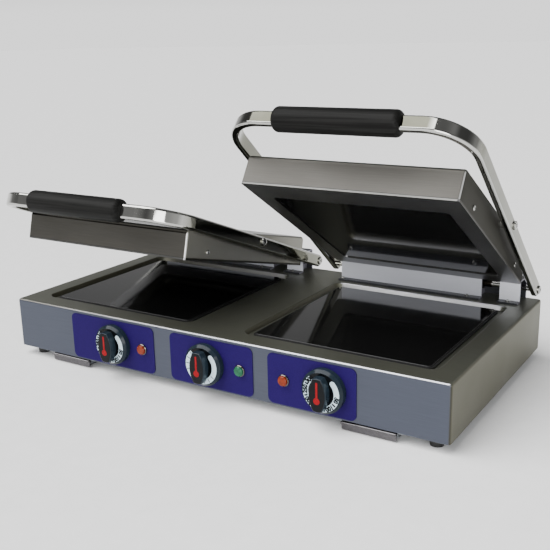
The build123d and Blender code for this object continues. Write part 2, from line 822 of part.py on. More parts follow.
for (side, x), arm_angle, lid_angle in zip(stations, arm_angles, lid_angles):
    arm = tilted(x, hinge_y, hinge_z, arm_angle)

    # The handle is one flat-sided tube bent to a U. Its ends are closed by round eyes for the hinge rod.
    with BuildPart() as handle_tube:
        with BuildLine(arm):
            FilletPolyline(
                (-arm_x, 0),
                (-arm_x, -grip_reach),
                (arm_x, -grip_reach),
                (arm_x, 0),
                radius=tube_outer_bend - tube_thickness / 2,
            )
        tube_start = Plane(origin=arm.from_local_coords((-arm_x, 0, 0)), x_dir=arm.x_dir, z_dir=-arm.y_dir)
        with BuildSketch(tube_start):
            RectangleRounded(tube_thickness, tube_height, tube_corner)
            Rectangle(tube_thickness - 2 * tube_wall, tube_height - 2 * tube_wall, mode=Mode.SUBTRACT)
        sweep()
        for end_x in (-arm_x, arm_x):
            eye_side = end_x - tube_thickness / 2
            eye = extrude(disc(arm, eye_side, (0, 0), eye_radius), amount=tube_thickness, mode=Mode.PRIVATE)
            add(eye.fillet(tube_corner, eye.edges().filter_by(GeomType.CIRCLE)))
            rod_bore = disc(arm, eye_side, (0, 0), rod_radius + fixed_clearance)
            extrude(rod_bore, amount=tube_thickness, mode=Mode.SUBTRACT)
            pin_bore = disc(arm, eye_side, (-arm_reach, pivot_rise), pin_radius + running_clearance)
            extrude(pin_bore, amount=tube_thickness, mode=Mode.SUBTRACT)
    write(handle_tube, f"{side}_handle_tube")

    # The grip is a ribbed moulded sleeve on the front bar.
    with BuildPart() as grip:
        extrude(disc(arm, -grip_length / 2, (-grip_reach, 0), grip_radius), amount=grip_length)
        fillet(edges(), grip_end_round)
        with BuildSketch(side_of(arm, -grip_length / 2)):
            with Locations((-grip_reach, 0)):
                RectangleRounded(
                    tube_thickness + 2 * fixed_clearance,
                    tube_height + 2 * fixed_clearance,
                    tube_corner + fixed_clearance,
                )
        extrude(amount=grip_length, mode=Mode.SUBTRACT)
    write(grip, f"{side}_grip")

    # The hinge rod runs from eye to eye and has a tapped hole in each end for its screw.
    rod_half = handle_width / 2
    with BuildPart() as hinge_rod:
        extrude(disc(arm, -rod_half, (0, 0), rod_radius), amount=2 * rod_half)
        for end in (-1, 1):
            tapped_hole = disc(arm, end * rod_half, (0, 0), screw_radius + fixed_clearance)
            extrude(tapped_hole, amount=-end * rod_screw_depth, mode=Mode.SUBTRACT)
    write(hinge_rod, f"{side}_hinge_rod")

    with BuildPart() as rod_screws:
        for end in (-1, 1):
            extrude(disc(arm, end * rod_half, (0, 0), bolt_head_radius), amount=end * bolt_head_height)
            extrude(disc(arm, end * rod_half, (0, 0), screw_radius), amount=-end * (rod_screw_depth - 1))
    write(rod_screws, f"{side}_rod_screws")

    # The lid's plane has its origin at the middle of the lower front edge.
    pivot = arm.from_local_coords((0, -arm_reach, pivot_rise))
    pivot_plane = tilted(pivot.X, pivot.Y, pivot.Z, lid_angle)
    lid_origin = pivot_plane.from_local_coords((0, -pivot_from_front, -pivot_height))
    lid = tilted(lid_origin.X, lid_origin.Y, lid_origin.Z, lid_angle)
    lid_up = Axis(lid.origin, lid.z_dir)
    half = lid_width / 2

    # The cover is pressed and folded from one sheet: a top that rises to the rear, a rolled front and flat sides.
    with BuildPart() as lid_cover:
        with BuildSketch(side_of(lid, -half)):
            with BuildLine():
                cover_base = frame_rim + lid_seam
                front_low = (0, cover_base)
                rear_low = (lid_length, cover_base)
                front_high = (0, lid_front_height)
                rear_high = (lid_length, lid_rear_height)
                FilletPolyline(
                    front_low, front_high, rear_high, rear_low, radius=(lid_front_roll, lid_rear_roll)
                )
                Line(rear_low, front_low)
            make_face()
        extrude(amount=lid_width)
        for end_face in (faces().sort_by(Axis.X)[0], faces().sort_by(Axis.X)[-1]):
            fillet(end_face.edges().sort_by(lid_up)[1:], lid_bend)
        offset(amount=-lid_sheet, openings=faces().sort_by(lid_up)[0])
        for end in (-1, 1):
            for place in side_screws:
                screw_hole = disc(lid, end * half, place, screw_radius + fixed_clearance)
                extrude(screw_hole, amount=-end * 2 * lid_sheet, mode=Mode.SUBTRACT)
            pin_hole = disc(lid, end * half, pin_place, pin_thread_radius + fixed_clearance)
            extrude(pin_hole, amount=-end * 2 * lid_sheet, mode=Mode.SUBTRACT)
    write(lid_cover, f"{side}_lid_cover")

    # The underframe is a folded pan: a flat face with the window, a rim under the cover and a flange inside it.
    flange_inset = lid_sheet + frame_fit
    with BuildPart() as lid_underframe:
        with BuildSketch(lid):
            with Locations((0, lid_length / 2)):
                RectangleRounded(lid_width, lid_length, lid_bend)
        extrude(amount=frame_rim)
        with BuildSketch(lid):
            with Locations((0, lid_length / 2)):
                RectangleRounded(
                    lid_width - 2 * flange_inset, lid_length - 2 * flange_inset, lid_bend - flange_inset
                )
        extrude(amount=frame_sheet + frame_flange)
        with BuildSketch(lid.offset(frame_sheet)):
            with Locations((0, lid_length / 2)):
                Rectangle(
                    lid_width - 2 * (flange_inset + frame_sheet), lid_length - 2 * (flange_inset + frame_sheet)
                )
        extrude(amount=frame_flange, mode=Mode.SUBTRACT)
        with BuildSketch(lid):
            with Locations((0, glass_u)):
                RectangleRounded(window_size, window_size, plate_corner)
        extrude(amount=frame_sheet, mode=Mode.SUBTRACT)
        for end in (-1, 1):
            for place in side_screws:
                screw_hole = disc(lid, end * half, place, screw_radius + fixed_clearance)
                extrude(screw_hole, amount=-end * lid_bend, mode=Mode.SUBTRACT)
    write(lid_underframe, f"{side}_lid_underframe")

    with BuildPart() as upper_glass:
        with BuildSketch(lid.offset(frame_sheet)):
            with Locations((0, glass_u)):
                RectangleRounded(upper_plate_size, upper_plate_size, plate_corner)
        extrude(amount=plate_thickness)
    write(upper_glass, f"{side}_upper_glass")

    # The heater dish lies on the glass with its open side down, and the ribbon hangs from its roof.
    with BuildPart() as upper_heater_dish:
        with BuildSketch(lid.offset(heater_base)):
            with Locations((0, glass_u)):
                RectangleRounded(heater_size, heater_size, plate_corner)
        extrude(amount=upper_heater_height)
        with BuildSketch(lid.offset(heater_base)):
            with Locations((0, glass_u)):
                Rectangle(heater_size - 2 * heater_wall, heater_size - 2 * heater_wall)
        extrude(amount=upper_heater_height - heater_floor, mode=Mode.SUBTRACT)
    write(upper_heater_dish, f"{side}_upper_heater_dish")

    with BuildPart() as upper_heating_element:
        with BuildSketch(lid.offset(heater_base + upper_heater_height - heater_floor)):
            with BuildLine():
                Polyline(*element_points(0, glass_u))
            trace(line_width=element_width)
        extrude(amount=-element_thickness)
    write(upper_heating_element, f"{side}_upper_heating_element")

    # Each pivot pin is one turned piece: a head outside the arm, a shank in it, a spacer collar between the arm
    # and the lid, and a thread through the cover with its nut inside.
    arm_inner = handle_width / 2 - tube_thickness
    with BuildPart() as pivot_pins:
        for end in (-1, 1):
            shank_in = arm_inner - side_clearance
            shank_out = handle_width / 2 + side_clearance
            nut_end = half - lid_sheet - pin_nut_height
            steps = (
                (shank_out, bolt_head_radius, bolt_head_height),
                (shank_in, pin_radius, shank_out - shank_in),
                (half, pin_spacer_radius, shank_in - half),
                (half, pin_thread_radius, nut_end - 1 - half),
                (half - lid_sheet, pin_nut_radius, -pin_nut_height),
            )
            for step_x, radius, length in steps:
                extrude(disc(lid, end * step_x, pin_place, radius), amount=end * length)
    write(pivot_pins, f"{side}_pivot_pins")

    with BuildPart() as lid_screws:
        for end in (-1, 1):
            for place in side_screws:
                extrude(disc(lid, end * half, place, screw_head_radius), amount=end * screw_head_height)
                extrude(disc(lid, end * half, place, screw_radius), amount=-end * lid_screw_length)
    write(lid_screws, f"{side}_lid_screws")
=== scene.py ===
import bpy, bmesh, math
from mathutils import Matrix, Vector


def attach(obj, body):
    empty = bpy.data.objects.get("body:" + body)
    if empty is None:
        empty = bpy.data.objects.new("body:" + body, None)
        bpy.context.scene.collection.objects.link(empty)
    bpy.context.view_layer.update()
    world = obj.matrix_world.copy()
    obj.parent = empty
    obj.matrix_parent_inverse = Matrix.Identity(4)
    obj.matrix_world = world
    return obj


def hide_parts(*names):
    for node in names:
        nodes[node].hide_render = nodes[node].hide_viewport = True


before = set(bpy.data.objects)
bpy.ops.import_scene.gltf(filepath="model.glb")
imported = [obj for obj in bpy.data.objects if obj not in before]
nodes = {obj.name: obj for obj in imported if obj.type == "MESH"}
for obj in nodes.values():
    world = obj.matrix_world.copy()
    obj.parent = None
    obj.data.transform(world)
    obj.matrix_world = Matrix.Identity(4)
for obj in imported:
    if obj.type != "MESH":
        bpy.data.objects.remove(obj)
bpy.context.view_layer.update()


# ---------------------------------------------------------------- casing
# The casing is one folded sheet of stainless steel with two wells pressed into its top. It was brushed by
# machine before it was folded, so it shows fine lines along the front. Each face has its own painted tone,
# standing for the light it reflects.

def linear(hex_colour):
    """An sRGB hex colour as linear RGBA."""
    parts = [int(hex_colour[i:i + 2], 16) / 255 for i in (1, 3, 5)]
    return (*[c / 12.92 if c <= 0.04045 else ((c + 0.055) / 1.055) ** 2.4 for c in parts], 1.0)


def put(material, kind, settings=None, links=None):
    """Adds a node. Settings go to its inputs, by name or number, or to its properties. Links go to inputs."""
    made = material.node_tree.nodes.new(kind)
    for name, value in (settings or {}).items():
        if isinstance(name, int) or name in made.inputs:
            made.inputs[name].default_value = value
        else:
            setattr(made, name, value)
    for name, socket in (links or {}).items():
        material.node_tree.links.new(socket, made.inputs[name])
    return made


def start_material(name):
    """An empty node material and its output node."""
    material = bpy.data.materials.new(name)
    material.use_nodes = True
    material.node_tree.nodes.clear()
    return material, put(material, "ShaderNodeOutputMaterial")


def finish_material(material, output, surface):
    """Joins a finished surface to the material's output."""
    material.node_tree.links.new(surface.outputs["BSDF"], output.inputs["Surface"])
    return material


def two_tones(material, texture, colours, low_at=0.3, high_at=0.7):
    """The two close tones of a finish, shared out by a texture's values."""
    made = put(material, "ShaderNodeValToRGB", {}, {"Fac": texture})
    for element, position, colour in zip(made.color_ramp.elements, (low_at, high_at), colours):
        element.position = position
        element.color = linear(colour)
    return made.outputs["Color"]


def facing(material, direction, begin, full):
    """How far a face looks in a direction: not at all at the cosine begin, and fully at the cosine full."""
    normal = put(material, "ShaderNodeTexCoord").outputs["Normal"]
    cosine = put(material, "ShaderNodeVectorMath", {"operation": "DOT_PRODUCT", 1: direction}, {0: normal})
    share = put(material, "ShaderNodeMapRange", {"From Min": begin, "From Max": full},
                {"Value": cosine.outputs["Value"]})
    return share.outputs["Result"]


def dress(material, *names):
    """Gives carried-over CAD nodes a material."""
    for name in names:
        mesh = nodes[name].data
        mesh.materials.clear()
        mesh.materials.append(material)


def brushed_steel(name, tones, roughness, bump, tilt=0.0, metallic=1.0, front_at=0.0, front_within=9.0,
                  fold_from=0.90, fold_narrowing=0.0):
    """Brushed sheet: fine lines along X, and a pair of close tones for each way that a face looks and for the
    folds and corners. These tones are painted light and shade: each stands for what its face reflects. The
    lines are 0.42 mm wide, coarser than the real 0.1 mm, so that they show. The tilt is the slope of the
    piece in degrees."""
    line_mm, line_length_mm, cloud_mm = 0.4167, 38.46, 111.1
    fold_fade, corner_from = 0.08, 0.93
    shaded_until_x, lit_from_x = -0.30, 0.10
    material, output = start_material(name)
    coordinates = put(material, "ShaderNodeTexCoord")
    place = coordinates.outputs["Object"]
    stretched = put(material, "ShaderNodeMapping",
                    {"Scale": (1000 / line_length_mm, 1000 / line_mm, 1000 / line_mm)}, {"Vector": place})
    lines = put(material, "ShaderNodeTexNoise", {"Scale": 1.0, "Detail": 3.0, "Roughness": 0.6},
                {"Vector": stretched.outputs["Vector"]}).outputs["Fac"]
    colours = {face: two_tones(material, lines, pair) for face, pair in tones.items()}

    # The front tone stays within front_within of the plane front_at. Walls further back look like the top.
    where = put(material, "ShaderNodeSeparateXYZ", {}, {"Vector": place})
    at_front = put(material, "ShaderNodeMath", {"operation": "COMPARE", 1: front_at, 2: front_within},
                   {0: where.outputs["Y"]}).outputs["Value"]
    to_front = put(material, "ShaderNodeMath", {"operation": "MULTIPLY"},
                   {0: facing(material, (0, -1, 0), 0.2, 0.8), 1: at_front}).outputs["Value"]
    to_side = facing(material, (1, 0, 0), 0.3, 0.8)

    # The front fold looks halfway between front and top, and the corner halfway between front and side.
    # The fold and corner tones are painted highlights and painted shade along the bends.
    lean = math.radians(45 + tilt)
    over_fold = put(material, "ShaderNodeVectorMath",
                    {"operation": "DOT_PRODUCT", 1: (0, -math.cos(lean), math.sin(lean))},
                    {0: coordinates.outputs["Normal"]})
    narrowed = put(material, "ShaderNodeMath", {"operation": "MULTIPLY_ADD", 1: -fold_narrowing},
                   {0: at_front, 2: over_fold.outputs["Value"]})
    painted_fold_share = put(material, "ShaderNodeMapRange", {"From Min": fold_from, "From Max": fold_from + fold_fade},
                  {"Value": narrowed.outputs["Value"]}).outputs["Result"]
    turn, half = math.radians(tilt), math.sqrt(0.5)
    painted_corner_share = facing(material, (half, -half * math.cos(turn), half * math.sin(turn)),
                       corner_from, corner_from + fold_fade)

    # A painted shade on the left fold, where the left lid shades it, changes into the fold tone on the way to
    # the right.
    painted_fold_colour = colours["fold"]
    if "left_fold_shade" in tones:
        rightward = put(material, "ShaderNodeMapRange",
                        {"From Min": shaded_until_x, "From Max": lit_from_x}, {"Value": where.outputs["X"]})
        painted_fold_colour = put(material, "ShaderNodeMixRGB", {},
                          {"Fac": rightward.outputs["Result"], "Color1": colours["left_fold_shade"],
                           "Color2": painted_fold_colour}).outputs["Color"]

    tone = colours["top"]
    for share, colour in ((to_front, colours["front"]), (to_side, colours["side"]), (painted_fold_share, painted_fold_colour),
                          (painted_corner_share, colours["corner"])):
        tone = put(material, "ShaderNodeMixRGB", {},
                   {"Fac": share, "Color1": tone, "Color2": colour}).outputs["Color"]

    # The shine varies a little in soft clouds, and is drawn out square to the lines.
    clouds = put(material, "ShaderNodeTexNoise", {"Scale": 1000 / cloud_mm, "Detail": 2.0},
                 {"Vector": place})
    shine = put(material, "ShaderNodeMapRange",
                {"From Min": 0.3, "From Max": 0.7, "To Min": roughness - 0.04, "To Max": roughness + 0.05},
                {"Value": clouds.outputs["Fac"]})
    relief = put(material, "ShaderNodeBump", {"Strength": bump, "Distance": 0.0002}, {"Height": lines})
    off_side = put(material, "ShaderNodeMapRange", {"To Min": 1.0, "To Max": 0.0}, {"Value": to_side})
    along_lines = put(material, "ShaderNodeCombineXYZ", {}, {"X": off_side.outputs["Result"], "Y": to_side})
    surface = put(material, "ShaderNodeBsdfPrincipled", {"Metallic": metallic, "Anisotropic": 0.6},
                  {"Base Color": tone, "Roughness": shine.outputs["Result"],
                   "Normal": relief.outputs["Normal"], "Tangent": along_lines.outputs["Vector"]})
    return finish_material(material, output, surface)


# The tones are painted reflections: a warm dark deck, a bluish front, an olive side and a dark corner of
# painted shade.
# A thin painted highlight runs along the front fold, painted duller on the left where the left lid shades it.
casing_painted_tones = {
    "top": ("#64655B", "#6E6F64"), "front": ("#444853", "#4C505B"), "side": ("#575648", "#616051"),
    "fold": ("#E6E6EC", "#EEEEF4"), "left_fold_shade": ("#625E54", "#6C685E"), "corner": ("#2C2A24", "#36342E")}
casing_steel = brushed_steel("brushed casing steel", casing_painted_tones, 0.38, 0.10, metallic=0.72,
                             front_at=-0.183, front_within=0.005, fold_narrowing=0.04)
dress(casing_steel, "casing_shell")


# ---------------------------------------------------------------- underside
# The bottom plate, the tray runners and the drain spouts are zinc plated sheet, screwed to the casing's
# folded lips. The feet are moulded rubber, and the screws are plain plated steel.

def grained(name, colours, grain_mm, roughness, metallic=0.0, bump=0.0, settings=None, stretch=1.0):
    """A moulded, turned, plated or printed finish: two close colours in a fine grain, drawn out along X by
    the stretch. The grain is about 1 mm wide or more, coarser than a real one, so that it shows."""
    material, output = start_material(name)
    place = put(material, "ShaderNodeTexCoord").outputs["Object"]
    drawn_out = put(material, "ShaderNodeMapping", {"Scale": (1 / stretch, 1, 1)}, {"Vector": place})
    grain = put(material, "ShaderNodeTexNoise", {"Scale": 1000 / grain_mm, "Detail": 2.0},
                {"Vector": drawn_out.outputs["Vector"]})
    relief = put(material, "ShaderNodeBump", {"Strength": bump, "Distance": 0.0003},
                 {"Height": grain.outputs["Fac"]})
    surface = put(material, "ShaderNodeBsdfPrincipled",
                  {"Metallic": metallic, "Roughness": roughness, **(settings or {})},
                  {"Base Color": two_tones(material, grain.outputs["Fac"], colours, 0.35, 0.65),
                   "Normal": relief.outputs["Normal"]})
    return finish_material(material, output, surface)


# Zinc is duller and bluer than stainless, its screws are a little brighter, and the rubber is matt black.
zinc_plate = grained("zinc plated sheet", ("#7C8084", "#8B8F93"), 4.55, 0.42, metallic=1.0, bump=0.05)
plated_screw = grained("zinc plated screw steel", ("#8A8C8E", "#97999B"), 1.67, 0.34, metallic=1.0)
foot_rubber = grained("black foot rubber", ("#121212", "#1A1A1A"), 0.83, 0.65, bump=0.15)
dress(zinc_plate, "bottom_plate", "tray_runners", "drain_spouts")
dress(plated_screw, "bottom_plate_screws", "foot_screws")
dress(foot_rubber, "feet")


# ---------------------------------------------------------------- drip trays
# The trays are folded from the same stainless sheet as the casing and left with its mill finish. The front
# edge of each is rolled over to a safe round lip.
tray_x, tray_width, tray_top = 0.2465, 0.073, 0.0085
roll_y, roll_z, roll_outer, roll_inner = -0.1833, 0.0109, 0.0018, 0.0012
roll_end, roll_step = 255, 15
lip_corners = ((-1, roll_outer), (1, roll_outer), (1, roll_inner), (-1, roll_inner))

# The mill finish is plain and bright, with a soft reflection and no lines.
tray_steel = grained("bright mill finish steel", ("#585658", "#626062"), 3.33, 0.25, metallic=1.0)
dress(tray_steel, "left_drip_tray", "right_drip_tray")


def add_piece(name, made, body, material_slot, *materials):
    """An added piece that rides on a CAD body."""
    bmesh.ops.recalc_face_normals(made, faces=made.faces)
    mesh = bpy.data.meshes.new(name)
    made.to_mesh(mesh)
    for material in materials:
        mesh.materials.append(material)
    piece = bpy.data.objects.new(name, mesh)
    bpy.context.collection.objects.link(piece)
    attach(piece, body)
    return piece


def join_rows(made, rows):
    """Walls of a bar with four corners, from one row of corners to the next."""
    for this, after in zip(rows, rows[1:]):
        for corner in range(4):
            made.faces.new((this[corner], after[corner], after[corner - 3], this[corner - 3]))


for side, sign in (("left", -1), ("right", 1)):
    lip = bmesh.new()
    rows = []
    for degrees in (None, *range(0, roll_end + 1, roll_step)):
        turn = math.radians(degrees or 0)
        centre_z = tray_top if degrees is None else roll_z
        rows.append([lip.verts.new((sign * tray_x + end * tray_width / 2, roll_y + radius * math.cos(turn),
                                    centre_z + radius * math.sin(turn)))
                     for end, radius in lip_corners])
    join_rows(lip, rows)
    lip.faces.new(rows[0])
    lip.faces.new(rows[-1])
    add_piece(f"{side}_tray_rolled_lip", lip, f"{side}_tray", "polished_steel", tray_steel)


# ---------------------------------------------------------------- glass plates
# The plates are black glass-ceramic with fire-polished faces and ground edges. The lower ones lie in the
# wells on a moulded silicone seal, and the upper ones are held in the lids, which hang at an angle.
lid_tilts = {"left": 14.7, "right": 31.8}


def glass_ceramic(name, tilt):
    """Black glass-ceramic: the faces mirror what is above or below them, and the ground edges stay dull. Its
    crystals are far too small to see, so a faint 1.1 mm speckle stands for them."""
    speck_mm, ground_roughness, polished_roughness = 1.11, 0.6, 0.07
    material, output = start_material(name)
    coordinates = put(material, "ShaderNodeTexCoord")
    specks = put(material, "ShaderNodeTexNoise", {"Scale": 1000 / speck_mm, "Detail": 2.0},
                 {"Vector": coordinates.outputs["Object"]})
    square_to_face = (0, math.sin(math.radians(tilt)), math.cos(math.radians(tilt)))
    cosine = put(material, "ShaderNodeVectorMath", {"operation": "DOT_PRODUCT", 1: square_to_face},
                 {0: coordinates.outputs["Normal"]})
    either_face = put(material, "ShaderNodeMath", {"operation": "ABSOLUTE"}, {0: cosine.outputs["Value"]})
    shine = put(material, "ShaderNodeMapRange",
                {"From Min": 0.9, "From Max": 0.99, "To Min": ground_roughness, "To Max": polished_roughness},
                {"Value": either_face.outputs["Value"]})
    surface = put(material, "ShaderNodeBsdfPrincipled", {"IOR": 1.53},
                  {"Base Color": two_tones(material, specks.outputs["Fac"], ("#0C0C0C", "#141414")),
                   "Roughness": shine.outputs["Result"]})
    return finish_material(material, output, surface)


# The silicone is a thin satin black line round the mirror of each plate.
seal_silicone = grained("black silicone seal", ("#141414", "#1B1B1B"), 0.83, 0.55, bump=0.1)
level_glass = glass_ceramic("level black glass-ceramic", 0)
for side, tilt in lid_tilts.items():
    dress(level_glass, f"{side}_lower_glass")
    dress(glass_ceramic(f"{side} tilted black glass-ceramic", tilt), f"{side}_upper_glass")
dress(seal_silicone, "lower_glass_seals")


# ---------------------------------------------------------------- lids
# Each lid has a pressed cover of brushed stainless sheet and an underframe of polished sheet, screwed
# together at the sides. A thin dark strip along the seam between the cover's lower edge and the underframe's
# rim is painted shade, standing for the shadow in the gap.
station_x = {"left": -0.181, "right": 0.181}
arm_angles = {"left": 21.0, "right": 40.6}
hinge_y, hinge_z = 0.168, 0.107
pin_along_arm, pin_over_arm = 0.184, 0.0031
pin_back, pin_up = 0.162, 0.034
lid_half_width, lid_length, lid_corner = 0.1485, 0.317, 0.0035
seam_strip_low, seam_strip_high, seam_strip_depth = 0.0023, 0.0031, 0.0006
corner_steps = 4


def polished_steel(name, bends, flats, roughness, front_flats=None, rise=0.0):
    """Polished sheet or tube: bright bends, and flats at the side and the front that are greyer. These tones
    are painted reflections of what each face looks towards. The buffing shows in soft waves."""
    wave_mm = 33.3
    material, output = start_material(name)
    place = put(material, "ShaderNodeTexCoord").outputs["Object"]
    waves = put(material, "ShaderNodeTexNoise", {"Scale": 1000 / wave_mm, "Detail": 2.0},
                {"Vector": place}).outputs["Fac"]
    ahead = (0, -math.cos(math.radians(rise)), math.sin(math.radians(rise)))
    tone = two_tones(material, waves, bends)
    for direction, begin, colours in (((1, 0, 0), 0.90, flats), (ahead, 0.95, front_flats or bends)):
        tone = put(material, "ShaderNodeMixRGB", {},
                   {"Fac": facing(material, direction, begin, 0.99), "Color1": tone,
                    "Color2": two_tones(material, waves, colours)}).outputs["Color"]
    surface = put(material, "ShaderNodeBsdfPrincipled", {"Metallic": 1.0, "Roughness": roughness},
                  {"Base Color": tone})
    return finish_material(material, output, surface)


def handle_point(side, across, along, up):
    """A place in a handle's own directions: along runs from hinge to grip, and up is square to the arms."""
    turn = math.radians(arm_angles[side])
    return Vector((station_x[side] + across, hinge_y - along * math.cos(turn) + up * math.sin(turn),
                   hinge_z + along * math.sin(turn) + up * math.cos(turn)))


def lid_point(side, across, back, up):
    """A place in a lid's own directions: back runs from its front edge, up is square to its underside."""
    pin = handle_point(side, across, pin_along_arm, pin_over_arm)
    turn = math.radians(lid_tilts[side])
    behind, above = back - pin_back, up - pin_up
    return pin + Vector((0, behind * math.cos(turn) + above * math.sin(turn),
                         -behind * math.sin(turn) + above * math.cos(turn)))


# The brushed covers' tones are painted light: soft dark faces with a painted highlight at each corner. The
# raised one is painted paler above and in front and darker at its side, and the left one has a painted shadow
# of its grip along its front fold.
cover_painted_tones = {
    "left": {"top": ("#3C3C36", "#454540"), "front": ("#5A5853", "#64625D"), "side": ("#7C7B73", "#86857D"),
             "fold": ("#141310", "#1A1916"), "corner": ("#D0D0D0", "#DADADA")},
    "right": {"top": ("#4A4A43", "#54544C"), "front": ("#605E5A", "#686662"), "side": ("#353430", "#3F3E39"),
              "fold": ("#3E3E38", "#484841"), "corner": ("#D0D0D0", "#DADADA")}}
cover_roughness = {"left": 0.33, "right": 0.60}
cover_fold_from = {"left": 0.72, "right": 0.90}

# The seam strip is a thin dull dark line of painted shade, and the polished underframe's soft greys are
# painted reflections of the dark plates.
seam_shade = grained("painted seam shade", ("#17170F", "#1F1F17"), 1.11, 0.5)
for side, tilt in lid_tilts.items():
    cover_steel = brushed_steel(f"brushed {side} lid steel", cover_painted_tones[side], cover_roughness[side], 0.08,
                                tilt=tilt, fold_from=cover_fold_from[side])
    dress(cover_steel, f"{side}_lid_cover")
    # The underframe's tones are painted reflections: bright bends, dark side flats and grey front flats.
    frame_steel = polished_steel(f"polished {side} underframe steel", ("#8C8C8D", "#979798"),
                                 ("#33322C", "#3D3C36"), 0.36, ("#5A5A58", "#646462"), tilt)
    dress(frame_steel, f"{side}_lid_underframe")
    # Each lid's seam strip is a dark ring of painted shade, standing for the gap's shadow.
    seam_strip = bmesh.new()
    rows = []
    for right, rear, first in ((1, 0, 270), (1, 1, 0), (-1, 1, 90), (-1, 0, 180)):
        for step in range(corner_steps + 1):
            turn = math.radians(first + step * 90 / corner_steps)
            across = right * (lid_half_width - lid_corner) + lid_corner * math.cos(turn)
            back = (lid_length - lid_corner if rear else lid_corner) + lid_corner * math.sin(turn)
            deeper_across = across - seam_strip_depth * math.cos(turn)
            deeper_back = back - seam_strip_depth * math.sin(turn)
            corners = ((across, back, seam_strip_low), (across, back, seam_strip_high),
                       (deeper_across, deeper_back, seam_strip_high), (deeper_across, deeper_back, seam_strip_low))
            rows.append([seam_strip.verts.new(lid_point(side, *corner)) for corner in corners])
    join_rows(seam_strip, rows + rows[:1])
    add_piece(f"{side}_lid_seam_shade_strip", seam_strip, f"{side}_lid", "black_silicone", seam_shade)


# ---------------------------------------------------------------- handles
# Each handle is a flat-sided steel tube, bent to a U and chromed. The grip is a sleeve of dark nylon,
# moulded with fine ribs along it, and pushed onto the bar.

# The nylon is a dull near-black. Its ribs, 2.4 mm apart, show as faint light lines.
grip_nylon = grained("ribbed dark nylon", ("#0E0E0D", "#1C1C1B"), 2.38, 0.5, bump=0.5,
                     settings={"Specular IOR Level": 0.08}, stretch=60)
# The chrome's tones are painted reflections of the pale floor and the dark room, so the tube breaks up into
# bright and dark stretches, and the right bar's front flats are painted darker still.
bar_painted_flats = {"left": None, "right": ("#4A4A41", "#56564C")}
for side, rise in arm_angles.items():
    tube_chrome = polished_steel(f"chromed {side} handle tube", ("#B4B4B0", "#C0C0BC"),
                                 ("#76766C", "#808076"), 0.08, bar_painted_flats[side], rise)
    dress(tube_chrome, f"{side}_handle_tube")
    dress(grip_nylon, f"{side}_grip")


# ---------------------------------------------------------------- hinges
# The brackets are folded from satin sheet and screwed to the deck. The ground rods turn in dark bronze
# bushes, and the springs are wound from oiled square wire.
bracket_front_y, bracket_front_within = 0.148, 0.006

# The satin sheet's tones are painted light and shade: pale and cool in front, dark above, and palest on the
# narrow brackets.
bracket_painted_fronts = {"wide": ("#CACCD4", "#D2D4DC"), "narrow": ("#F0F2FA", "#F6F8FF")}
for width, front in bracket_painted_fronts.items():
    bracket_painted_tones = {"top": ("#2E2F33", "#36373B"), "front": front, "side": ("#8C8B96", "#9594A0"),
                     "fold": ("#74757C", "#7E7F86"), "corner": ("#A8A9B0", "#B2B3BA")}
    bracket_steel = brushed_steel(f"satin {width} bracket steel", bracket_painted_tones, 0.45, 0.05, metallic=0.4,
                                  front_at=bracket_front_y, front_within=bracket_front_within)
    dress(bracket_steel, f"{width}_hinge_brackets")
# Ground steel is a clear bright mirror, oiled bronze is dark brown, and oiled spring wire is a dull grey.
ground_steel = grained("ground steel", ("#D2D2CF", "#DBDBD8"), 16.7, 0.16, metallic=1.0)
bush_bronze = grained("oiled bronze", ("#2A2620", "#353028"), 2.0, 0.38, metallic=1.0)
spring_steel = grained("oiled spring steel", ("#55534F", "#605E5A"), 2.5, 0.35, metallic=1.0)
dress(bush_bronze, "hinge_bushes")
for side in station_x:
    dress(ground_steel, f"{side}_hinge_rod")
    dress(spring_steel, f"{side}_hinge_spring")


# ---------------------------------------------------------------- screws and pins
# Every visible screw is a turned stainless pan head with a cross recess. The pivot pins and the rod screws
# have the same head, larger. Each mesh stands for the plain CAD fasteners at the same places.

# A head is its radius and height, and a shank its radius and length.
small_head, large_head = (0.0035, 0.002), (0.006, 0.0026)
lid_screw_backs, lid_screw_up, lid_screw_shank = (0.050, 0.262), 0.012, (0.002, 0.006)
rod_screw_x, rod_screw_shank = 0.1675, (0.002, 0.012)
pin_head_x, pin_shank = 0.1678, (0.004, 0.0106)
nut_x, nut_height, nut_radius, thread_radius = 0.1432, 0.0041, 0.0055, 0.003
collar_foot, collar_top, collar_radius = 0.0053, 0.014, 0.005
# A pin's nut, its thread through the cover, and its spacer collar, as distances outward and radii.
nut_and_collar = ((0, nut_radius), (nut_height, nut_radius), (nut_height, thread_radius),
                  (collar_foot, thread_radius), (collar_foot, collar_radius), (collar_top, collar_radius))
deck_screw_y, deck_screw_z, deck_screw_shank = 0.141, 0.0915, (0.002, 0.007)
deck_screws_across = (-0.136, 0.070, 0.131)

# The heads are bright specks with a clear highlight, and each recess is a dark cross of painted shade.
screw_steel = grained("bright stainless screw steel", ("#A9A9A5", "#B4B4B0"), 1.25, 0.22, metallic=1.0)
recess_dark = grained("shaded cross recess", ("#0D0D0D", "#141414"), 1.11, 0.5, metallic=1.0)


def turned(made, foot, outward, profile, around=20):
    """Revolves (distance outward, radius) pairs about a line, and returns the last ring."""
    level = outward.orthogonal().normalized()
    other = outward.cross(level)
    before = None
    for height, radius in profile:
        ring = []
        for step in range(around):
            turn = 2 * math.pi * step / around
            ray = math.cos(turn) * level + math.sin(turn) * other
            ring.append(made.verts.new(foot + outward * height + radius * ray))
        if before:
            for step in range(around):
                made.faces.new((before[step - 1], before[step], ring[step], ring[step - 1]))
        else:
            made.faces.new(ring)
        before = ring
    return before


